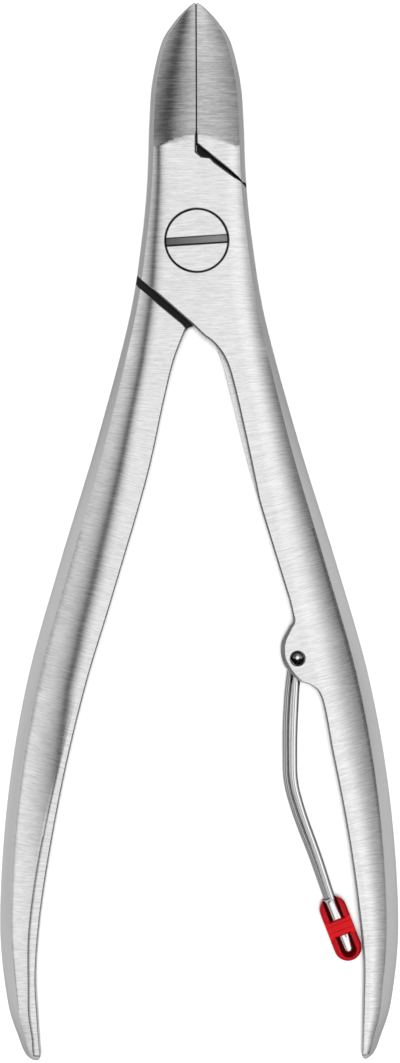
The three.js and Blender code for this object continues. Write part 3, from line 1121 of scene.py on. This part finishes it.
@dataclass
class LeverPair:
    """The two levers, with the holes for the screw and the pin."""

    forging: Forging
    recess_radius: float = 3.02
    recess_floor: float = 4.3
    shank_hole: float = 1.82
    pin_hole: float = 0.69
    boss_slot_radius: float = 2.25
    boss_slot: Point2 = (1.7, 4.3)
    rim: float = 0.07  # broken edge round a hole
    flare: float = 0.3  # how far a hole's tool runs on past the face
    below: float = -1.0  # heights clear of the levers' backs and of their half cheeks
    above_lap: Point2 = (1.0, 5.0)
    crease: float = 26.0

    def hole(self, radius: float, low: float, high: float, centre: Point2) -> bpy.types.Object:
        """Makes a tool for a hole whose mouth, at the height high, has a broken edge."""
        mouth = (radius + self.rim + self.flare, high + self.flare)
        return round_tool("hole", [(radius, low), (radius, high - self.rim), mouth], centre)

    def bore(self, radius: float, heights: Point2, centre: Point2) -> bpy.types.Object:
        """Makes a tool for a plain hole between two heights."""
        return round_tool("bore", [(radius, height) for height in heights], centre)

    def build(self, steel: bpy.types.Material) -> list[bpy.types.Object]:
        """Builds and dresses both levers.

        Args:
            steel: Their material.

        Returns:
            The front lever and the rear lever.
        """
        pivot = (PIVOT.x, PIVOT.y)
        pin = (PIN.x, PIN.y)
        front = self.forging.blank()
        rear = front.copy()
        rear.data = front.data.copy()
        bpy.context.scene.collection.objects.link(rear)

        low, high = self.above_lap
        recess = self.hole(self.recess_radius, self.recess_floor, THICKNESS, pivot)
        cut(front, self.forging.parting_tool("front_tool", False, True), Cut.KEEP)
        cut(front, recess, Cut.REMOVE)
        cut(front, self.bore(self.shank_hole, (low, high), pivot), Cut.REMOVE)
        cut(front, self.bore(self.boss_slot_radius, self.boss_slot, pin), Cut.REMOVE)
        through = self.hole(self.pin_hole, self.below, self.forging.flat_at(pin[1]), pin)
        cut(front, through, Cut.REMOVE)

        cut(rear, self.forging.parting_tool("rear_tool", True, False), Cut.KEEP)
        cut(rear, self.bore(self.shank_hole, (self.below, high), pivot), Cut.REMOVE)

        front.name, rear.name = "front_lever_ground", "rear_lever_ground"
        for lever, side in ((front, "front"), (rear, "rear")):
            finish_mesh(lever, self.crease)
            place(lever, f"{side}_half", f"{side}_lever", steel)
        return [front, rear]


# ---------------------------------------------------------------- fittings


@dataclass
class PivotScrew:
    """Slotted screw, flush with the front cheek."""

    head_radius: float = 2.9
    head_top: float = 5.95
    head_bottom: float = 4.4
    shank_radius: float = 1.7
    slot_width: float = 0.78
    slot_depth: float = 0.55
    slot_turn: float = math.radians(3.5)
    slot_edge: float = 0.05  # broken edge of the slot
    rim: float = 0.07
    crease: float = 18.0

    def build(self, steel: bpy.types.Material) -> bpy.types.Object:
        """Builds and dresses the screw.

        Args:
            steel: Its material.

        Returns:
            The screw.
        """
        top, head, shank = self.head_top, self.head_radius, self.shank_radius
        rings = [
            (shank - 0.25, 0.0), (shank - 0.1, 0.06), (shank, 0.25), (shank, self.head_bottom),
            (head - 0.05, self.head_bottom), (head, self.head_bottom + 0.05),
            (head, top - self.rim), (head - self.rim * 0.3, top - self.rim * 0.3),
            (head - self.rim, top), (head - 0.6, top),
        ]
        screw = round_tool("pivot_screw_slotted", rings, (PIVOT.x, PIVOT.y))
        cut(screw, self.slot_tool(), Cut.REMOVE)
        finish_mesh(screw, self.crease)
        place(screw, "rear_half", "pivot_screw", steel)
        return screw

    def slot_tool(self) -> bpy.types.Object:
        """Makes the tool for the slot, its mouth and its floor's corners slightly broken."""
        half, edge, past = self.slot_width / 2, self.slot_edge, 0.3
        reach = self.head_radius + 1.0
        floor, top = self.head_top - self.slot_depth, self.head_top
        profile = [
            (-half + edge, floor), (half - edge, floor), (half, floor + edge), (half, top - edge),
            (half + edge + past, top + past), (-half - edge - past, top + past),
            (-half, top - edge), (-half, floor + edge),
        ]
        turn = Matrix.Rotation(self.slot_turn, 3, "Z")
        return loop_solid("slot", [
            [tuple(turn @ Vector((x, y, z))) for y, z in profile] for x in (-reach, reach)
        ])


@dataclass
class SpringPin:
    """Domed pin through the boss."""

    radius: float = 0.6
    low: float = 0.8
    high: float = 5.1
    dome: float = 0.25
    crease: float = 50.0

    def build(self, steel: bpy.types.Material) -> bpy.types.Object:
        """Builds and dresses the pin.

        Args:
            steel: Its material.

        Returns:
            The pin.
        """
        steps = 8
        bow = [math.pi / 2 * k / steps for k in range(steps)]
        cap = [(self.radius * math.cos(a), self.dome * math.sin(a)) for a in bow]
        below = [(r, self.low - z) for r, z in reversed(cap)]
        rings = below + [(r, self.high + z) for r, z in cap]
        pin = round_tool("spring_pin_domed", rings, (PIN.x, PIN.y), 48)
        finish_mesh(pin, self.crease)
        place(pin, "front_half", "spring_pin", steel)
        return pin


@dataclass
class WireSpring:
    """Hairpin of one wire: an eye round the pin, a leg, the tip, the other leg and its eye."""

    wire_radius: float = 0.33
    eye_radius: float = 1.12
    front_eye: float = 3.55
    rear_eye: float = 2.45
    front_end: float = 3.4
    rear_end: float = 2.6
    front_leg: Sequence[Point2] = (
        (0.0, -1.1), (-0.2, -3.9), (-0.37, -9.6), (-0.28, -11.7), (0.1, -13.4), (2.04, -19.1),
        (3.23, -22.8), (4.79, -27.0),
    )
    rear_leg: Sequence[Point2] = (
        (-0.62, -0.95), (-0.95, -3.9), (-1.1, -9.5), (-1.0, -11.6), (-0.57, -13.5), (1.54, -19.3),
        (2.83, -22.95), (4.4, -27.15),
    )
    tip: Point2 = (4.83, -27.7)
    sides: int = 24
    spacing: float = 0.12
    curve_steps: int = 24
    eye_knots: int = 16
    crease: float = 60.0

    def path(self) -> list[Point3]:
        """Gives the wire's centre line, down the front leg, round the tip and up the rear leg."""

        def leg(points: Sequence[Point2], from_z: float, to_z: float) -> list[Point3]:
            """Places a leg beside the pin, its height running from one end to the other."""
            last = len(points) - 1
            return [
                (PIN.x + x, PIN.y + y, from_z + (to_z - from_z) * i / last)
                for i, (x, y) in enumerate(points)
            ]

        front = leg(self.front_leg, self.front_eye, self.front_end)
        rear = leg(self.rear_leg, self.rear_eye, self.rear_end)
        return [*front, (PIN.x + self.tip[0], PIN.y + self.tip[1], MIDDLE), *reversed(rear)]

    def sweep_tree(self) -> bpy.types.NodeTree:
        """Builds the node tree that sweeps a round wire along a curve.

        Returns:
            The tree, with inputs for the wire's radius, its sides, its spacing and its material.
        """
        tree = bpy.data.node_groups.new("sweep_wire", "GeometryNodeTree")
        for name, way, kind in (
            ("Geometry", "INPUT", "Geometry"), ("Wire Radius", "INPUT", "Float"),
            ("Sides", "INPUT", "Int"), ("Spacing", "INPUT", "Float"),
            ("Material", "INPUT", "Material"), ("Geometry", "OUTPUT", "Geometry"),
        ):
            tree.interface.new_socket(name, in_out=way, socket_type=f"NodeSocket{kind}")
        given, result, spaced, circle, swept, realised, dressed = (
            tree.nodes.new(kind) for kind in (
                "NodeGroupInput", "NodeGroupOutput", "GeometryNodeResampleCurve",
                "GeometryNodeCurvePrimitiveCircle", "GeometryNodeCurveToMesh",
                "GeometryNodeRealizeInstances", "GeometryNodeSetMaterial",
            )
        )
        spaced.mode = "LENGTH"
        swept.inputs["Fill Caps"].default_value = True
        for source, output, target, socket in (
            (given, "Geometry", spaced, "Curve"), (given, "Spacing", spaced, "Length"),
            (given, "Sides", circle, "Resolution"), (given, "Wire Radius", circle, "Radius"),
            (spaced, "Curve", swept, "Curve"), (circle, "Curve", swept, "Profile Curve"),
            (swept, "Mesh", realised, "Geometry"), (realised, "Geometry", dressed, "Geometry"),
            (given, "Material", dressed, "Material"), (dressed, "Geometry", result, "Geometry"),
        ):
            tree.links.new(source.outputs[output], target.inputs[socket])
        return tree

    def sweep(
        self, name: str, points: Sequence[Point3], closed: bool, steel: bpy.types.Material,
    ) -> bpy.types.Object:
        """Sweeps the wire along a smooth line.

        Args:
            name: The new object's name.
            points: The line's points in millimetres.
            closed: Whether the line joins up into a ring.
            steel: The wire's material.

        Returns:
            The swept mesh.
        """
        curve = bpy.data.curves.new(name, "CURVE")
        curve.dimensions = "3D"
        spline = curve.splines.new("BEZIER")
        spline.bezier_points.add(len(points) - 1)
        for knot, point in zip(spline.bezier_points, points):
            knot.co = Vector(point) * MM
            knot.handle_left_type = knot.handle_right_type = "AUTO"
        spline.use_cyclic_u = closed
        spline.resolution_u = self.curve_steps
        holder = bpy.data.objects.new(name, curve)
        bpy.context.scene.collection.objects.link(holder)
        tree = bpy.data.node_groups.get("sweep_wire") or self.sweep_tree()
        modifier = holder.modifiers.new("sweep", "NODES")
        modifier.node_group = tree
        wanted = {
            "Wire Radius": self.wire_radius * MM, "Sides": self.sides,
            "Spacing": self.spacing * MM, "Material": steel,
        }
        for item in tree.interface.items_tree:
            if item.in_out == "INPUT" and item.name in wanted:
                modifier[item.identifier] = wanted[item.name]
        evaluated = holder.evaluated_get(bpy.context.evaluated_depsgraph_get())
        mesh = bpy.data.meshes.new_from_object(evaluated)
        piece = bpy.data.objects.new(name + "_swept", mesh)
        bpy.context.scene.collection.objects.link(piece)
        bpy.data.objects.remove(holder, do_unlink=True)
        return piece

    def build(self, steel: bpy.types.Material, bar: bpy.types.Object) -> bpy.types.Object:
        """Builds and dresses the spring.

        Args:
            steel: Its material.
            bar: The flattened end that both legs run into.

        Returns:
            The spring.
        """
        spring = self.sweep("hairpin", self.path(), False, steel)
        angles = [2 * math.pi * k / self.eye_knots for k in range(self.eye_knots)]
        r = self.eye_radius
        for height in (self.front_eye, self.rear_eye):
            ring = [(PIN.x + r * math.cos(a), PIN.y + r * math.sin(a), height) for a in angles]
            eye = self.sweep("eye", ring, True, steel)
            face_outwards(eye)
            face_outwards(spring)
            cut(spring, eye, Cut.JOIN)
        cut(spring, bar, Cut.JOIN)
        spring.name = "wire_spring_hairpin"
        finish_mesh(spring, self.crease)
        place(spring, "spring_arm", "wire_spring", steel)
        return spring


@dataclass
class SpringGlide:
    """Round-ended plastic clip on the spring's tip, with a bridge over the wire."""

    centre: Point2 = (3.98, -25.52)
    lean: float = math.radians(21)
    length: float = 6.4
    width: float = 2.6
    low: float = 1.55
    high: float = 4.35
    channel: float = 1.26
    bar: Point3 = (0.6, -2.62, 3.0)  # half width and both ends of the spring's flattened end
    bar_heights: Point2 = (2.3, 3.87)
    bar_round: float = 0.5
    channel_low: float = 1.95
    channel_high: float = 4.0
    end_wall: float = 0.42
    bridge: Point2 = (-0.77, 0.98)
    strap_heights: Point2 = (3.9, 4.45)
    grooves: Point2 = (-0.2, 0.42)  # where the strap's two grooves run
    groove: Point3 = (0.045, 0.1, 0.07)  # half width, depth and bow of a groove
    window_flare: Sequence[Point2] = ((3.75, 0.0), (4.35, -0.14), (4.85, -0.5))
    crease: float = 36.0
    round_edge: float = 0.28

    def strip(self, half: float, low: float, high: float, round_top: bool) -> list[Point2]:
        """Gives the plan of a strip along the glide, round at its lower end.

        Args:
            half: Half its width.
            low: Its lower end.
            high: Its upper end.
            round_top: Whether its upper end is round too.

        Returns:
            The outline, anticlockwise, in the glide's own directions.
        """
        steps = 20
        bow = [math.pi * k / steps for k in range(steps + 1)]
        outline = [(-half * math.cos(a), low + half - half * math.sin(a)) for a in bow]
        if round_top:
            return outline + [(half * math.cos(a), high - half + half * math.sin(a)) for a in bow]
        return [*outline, (half, high), (-half, high)]

    def raised(
        self, name: str, plan: Sequence[Point2], levels: Sequence[Point2],
    ) -> bpy.types.Object:
        """Raises a plan between heights.

        Args:
            name: The new object's name.
            plan: The outline in the glide's own directions.
            levels: Height and inset of each level, from the bottom up.

        Returns:
            The closed solid, in its place.
        """
        c, s = math.cos(self.lean), math.sin(self.lean)
        at_x, at_y = PIN.x + self.centre[0], PIN.y + self.centre[1]
        return loop_solid(name, [
            [
                (at_x + x * c - y * s, at_y + x * s + y * c, height)
                for x, y in (inset(plan, by) if by else plan)
            ]
            for height, by in levels
        ])

    def flattened_end(self) -> bpy.types.Object:
        """Makes the bar that the spring's two legs are pressed into, round at its tip."""
        half, low, high = self.bar
        levels = self.rounded(*self.bar_heights, self.bar_round)
        return self.raised("bar", self.strip(half, low, high, False), levels)

    def strap(self) -> bpy.types.Object:
        """Makes the raised strap of the bridge, with two shallow grooves across it."""
        low, high = self.strap_heights
        near, far = self.bridge
        half = self.width / 2
        plan = [(-half, near), (half, near), (half, far), (-half, far)]
        levels = [(low, 0.02), (high - 0.1, 0.02), (high - 0.04, 0.05), (high, 0.14)]
        strap = self.raised("strap", plan, levels)
        wide, deep, bend = self.groove
        xs = np.linspace(-half - 0.2, half + 0.2, 9)
        for middle in self.grooves:
            bow = [(x, middle + bend * (1 - (x / half) ** 2)) for x in xs]
            line = [*((x, y - wide) for x, y in bow), *((x, y + wide) for x, y in reversed(bow))]
            cut(strap, self.raised("groove", line, [(high - deep, 0), (high + 0.3, 0)]), Cut.REMOVE)
        return strap

    def rounded(self, low: float, high: float, r: float) -> list[Point2]:
        """Lists heights and insets of a block whose edges are rounded above and below."""
        steps = 9
        bow = [math.pi / 2 * k / steps for k in range(steps + 1)]
        below = [(low + r - r * math.sin(a), r - r * math.cos(a)) for a in reversed(bow)]
        above = [(high - r + r * math.sin(a), r - r * math.cos(a)) for a in bow]
        return below + above

    def build(self, plastic: bpy.types.Material) -> bpy.types.Object:
        """Builds and dresses the glide.

        Args:
            plastic: Its material.

        Returns:
            The glide.
        """
        half_length, half = self.length / 2, self.channel / 2
        low_end = self.end_wall - half_length
        body = self.strip(self.width / 2, -half_length, half_length, True)
        rounding = self.rounded(self.low, self.high, self.round_edge)
        glide = self.raised("spring_glide_clip", body, rounding)
        cut(glide, self.strap(), Cut.JOIN)
        flare = [(MIDDLE, 0), *self.window_flare]
        plain = [(self.channel_low, 0), (self.channel_high, 0)]
        near, far = self.bridge
        upper = [(-half, far), (half, far), (half, self.length), (-half, self.length)]
        for name, plan, levels in (
            ("channel", self.strip(half, low_end, self.length, False), plain),
            ("lower_window", self.strip(half, low_end, near, False), flare),
            ("upper_window", upper, flare),
        ):
            cut(glide, self.raised(name, plan, levels), Cut.REMOVE)
        finish_mesh(glide, self.crease)
        place(glide, "spring_arm", "spring_glide", plastic)
        return glide


# ---------------------------------------------------------------- studio


@dataclass
class Studio:
    """Pale floor, the camera over the nipper, and a surround tuned for the view from above."""

    frame_height: float = 100.53  # what the picture's height spans at the nipper's middle
    aim: Point2 = (0.2, -27.4)
    roll: float = math.radians(-0.2)
    distance: float = 600.0
    floor_tone: Point3 = (0.9, 0.9, 0.9)
    floor_half: float = 3000.0
    floor_drop: float = 0.01  # how far the floor lies under the nipper
    overhead_power: float = 3.0
    overhead_angle: float = math.radians(10)
    # Brightness of the surround by angle from straight up, across (+ is right) and along.
    across: Sequence[Point2] = (
        (-90, 0.6), (-62, 1.12), (-52, 1.0), (-44, 0.84), (-36, 0.64), (-30, 0.49), (-26, 0.36),
        (-22.5, 0.16), (-20, 0.03), (-18.5, 0.0), (-17, 0.04), (-14.5, 0.24), (-12, 0.48),
        (-9, 0.76), (-5, 0.97), (-2, 1.08), (0, 1.12), (5, 1.2), (12, 1.22), (20, 1.18),
        (26, 1.08), (32, 0.92), (40, 0.72), (48, 0.56), (56, 0.44), (64, 0.38), (90, 0.35),
    )
    along: Sequence[Point2] = (
        (-90, 0.3), (-60, 0.4), (-35, 0.75), (-15, 0.98), (0, 1.0), (10, 0.95), (20, 0.72),
        (26, 0.62), (34, 0.66), (45, 0.85), (60, 0.8), (90, 0.5),
    )
    gap_glow: float = 0.07  # how much light the dark gap keeps, but above the jaws
    glow_end: Point2 = (math.radians(5), math.radians(25))
    corner_dim: float = 0.5  # how much the corner between the panels dims
    corner_right: Point2 = (math.radians(4), math.radians(34))
    corner_up: Point2 = (math.radians(12), math.radians(30))

    def overhead(self) -> None:
        """Hangs a soft overhead light that fills the floor and shows in no reflection."""
        data = bpy.data.lights.new("overhead", "SUN")
        data.energy = self.overhead_power
        data.angle = self.overhead_angle
        lamp = bpy.data.objects.new("overhead", data)
        lamp.visible_camera = lamp.visible_glossy = False
        bpy.context.scene.collection.objects.link(lamp)

    def floor(self) -> None:
        """Lays the floor, just under the nipper."""
        half, z = self.floor_half, -self.floor_drop
        corners = [(-half, -half, z), (half, -half, z), (half, half, z), (-half, half, z)]
        ground = make_object("floor", corners, [(0, 1, 2, 3)])
        ground.data.materials.append(Finish("pale_floor").surface(
            Base_Color=self.floor_tone, Roughness=0.9, Specular_IOR_Level=0.1,
        ))

    def panels(self, graph: Graph, angle: Value, stops: Sequence[Point2]) -> Value:
        """Gives how bright the surround is at an angle from straight up.

        Args:
            graph: The surround's tree.
            angle: The angle in radians.
            stops: Pairs of angle in degrees and brightness, angles rising.

        Returns:
            The brightness.
        """
        most = max(level for _, level in stops)
        share = angle * (1 / math.pi) + 0.5
        places = [(0.5 + degrees / 180, level / most) for degrees, level in stops]
        return graph.ramp(share, places) * most

    def world(self) -> None:
        """Sets soft panels all round: bright above, with a narrow dark gap left of it."""
        world = bpy.data.worlds.new("surround")
        bpy.context.scene.world = world
        world.use_nodes = True
        graph = Graph(world.node_tree)
        x, y, z = graph.parts(graph.node("ShaderNodeTexCoord").outputs["Generated"])
        right, up = x.angle_over(z), y.angle_over(z)
        glow = (1.0 - up.between(*self.glow_end)) * self.gap_glow
        across = self.panels(graph, right, self.across) + glow
        along = self.panels(graph, up, self.along)
        corner = right.between(*self.corner_right) * up.between(*self.corner_up)
        seen = graph.value(graph.node("ShaderNodeLightPath").outputs["Is Camera Ray"])
        back = world.node_tree.nodes["Background"]
        graph.feed(back.inputs["Color"], (1.0, 1.0, 1.0))
        panels = across * along * (1.0 - corner * self.corner_dim)
        graph.feed(back.inputs["Strength"], panels * (1.0 - seen) + seen)

    def camera(self) -> None:
        """Hangs the camera over the nipper, looking straight down."""
        data = bpy.data.cameras.new("camera")
        data.sensor_width = 36.0
        data.lens = data.sensor_width * self.distance / self.frame_height
        data.clip_start, data.clip_end = 0.01, 20.0
        camera = bpy.data.objects.new("camera", data)
        camera.location = (self.aim[0] * MM, self.aim[1] * MM, (MIDDLE + self.distance) * MM)
        camera.rotation_euler = (0.0, 0.0, self.roll)
        bpy.context.scene.collection.objects.link(camera)
        bpy.context.scene.camera = camera

    def build(self) -> None:
        """Builds the whole studio."""
        self.floor()
        self.world()
        self.overhead()
        self.camera()
        bpy.context.scene.view_settings.view_transform = "Standard"


# ---------------------------------------------------------------- assembly


def main() -> None:
    """Builds the nipper and its studio."""
    logging.basicConfig(level=logging.INFO)
    satin = SatinSteel("satin_steel").build()
    screw_satin = ScrewSteel("screw_satin_steel", turn=PivotScrew.slot_turn).build()
    wire = PolishedWire("polished_wire").build()
    plastic = GlossyPlastic("red_plastic").build()
    Studio().build()
    LeverPair(Forging()).build(satin)
    PivotScrew().build(screw_satin)
    SpringPin().build(BlackPin("blackened_pin").build())
    glide = SpringGlide()
    WireSpring().build(wire, glide.flattened_end())
    glide.build(plastic)


if __name__ == "__main__":
    main()
